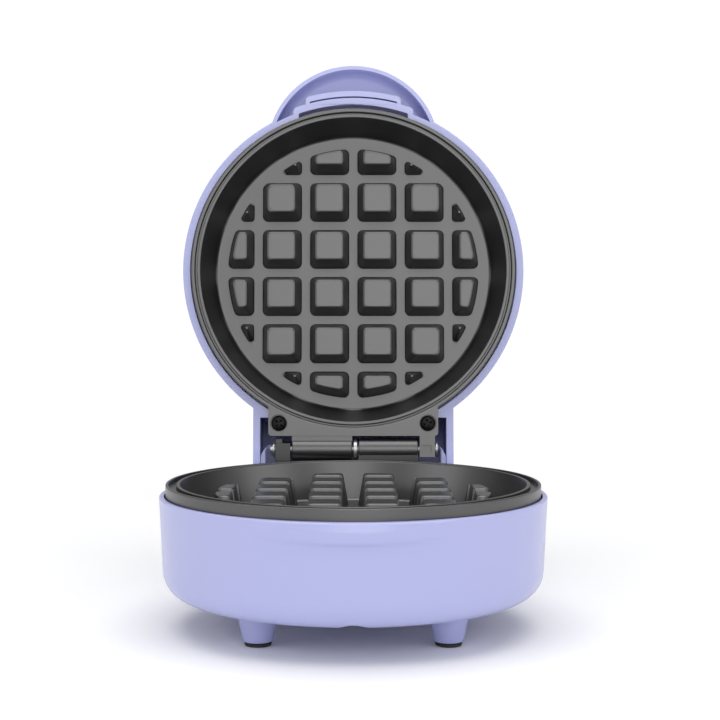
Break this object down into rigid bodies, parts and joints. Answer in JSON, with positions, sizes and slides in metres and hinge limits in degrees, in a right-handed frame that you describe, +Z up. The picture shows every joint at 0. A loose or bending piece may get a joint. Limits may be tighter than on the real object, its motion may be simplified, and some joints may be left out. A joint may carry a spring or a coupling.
{
  "type": "waffle maker",
  "caption": "Small round waffle maker, standing open: drum base on four peg feet, two peg-grid cooking plates and a hinged lid with a scooped handle.",
  "frame": {"origin": "on the surface it stands on, under the middle of the open object's box", "axes": "+Z up, +Y from the front (handle and chin side) to the hinge, +X to the right seen from the front"},
  "size_m": [0.126, 0.1772, 0.1914],
  "materials": {
    "lavender_plastic": "smooth moulded plastic, satin gloss",
    "coated_plate": "cast aluminium with a speckled dark grey release coating",
    "black_screw": "black oxide, cross recess",
    "steel": "bright zinc plated",
    "shield_steel": "thin pressed sheet",
    "element": "heat-stained tube",
    "rubber": "matt black rubber",
    "ceramic": "heat-proof moulding, off white",
    "lens": "red translucent lens",
    "lamp_glass": "clear glass capsule",
    "sleeve": "braided glass-fibre sleeve"
  },
  "bodies": {
    "base": {"base_shell": "lavender_plastic", "base_cover": "lavender_plastic", "cover_screw_1": "steel", "cover_screw_2": "steel", "cover_screw_3": "steel", "cover_screw_4": "steel", "foot_pad_front_left": "rubber", "foot_pad_front_right": "rubber", "foot_pad_rear_left": "rubber", "foot_pad_rear_right": "rubber", "lower_plate": "coated_plate", "lower_plate_screw_left": "black_screw", "lower_plate_screw_right": "black_screw", "lower_heater": "element", "lower_heat_shield": "shield_steel", "lower_shield_screw_left": "steel", "lower_shield_screw_right": "steel", "lower_thermostat": "ceramic", "lower_thermal_fuse": "steel", "terminal_block": "ceramic", "cord_gland": "rubber", "cord_clamp": "ceramic", "clamp_screw_left": "steel", "clamp_screw_right": "steel", "hinge_pin": "steel", "hinge_clip_left": "steel", "hinge_clip_right": "steel", "hinge_washer": "steel"},
    "lid": {"lid_shell": "lavender_plastic", "upper_plate": "coated_plate", "upper_plate_screw_left": "black_screw", "upper_plate_screw_right": "black_screw", "upper_heater": "element", "upper_heat_shield": "shield_steel", "upper_shield_screw_left": "steel", "upper_shield_screw_right": "steel", "upper_thermostat": "ceramic", "upper_thermal_fuse": "steel", "indicator_lens": "lens", "indicator_lamp": "lamp_glass", "lid_lead_sleeve": "sleeve"}
  },
  "joints": [
    {"name": "lid_hinge", "type": "hinge", "parent": "base", "child": "lid", "pos_m": [0, 0.04255, 0.0503], "axis": [1, 0, 0], "range_deg": [0, 97]}
  ]
}
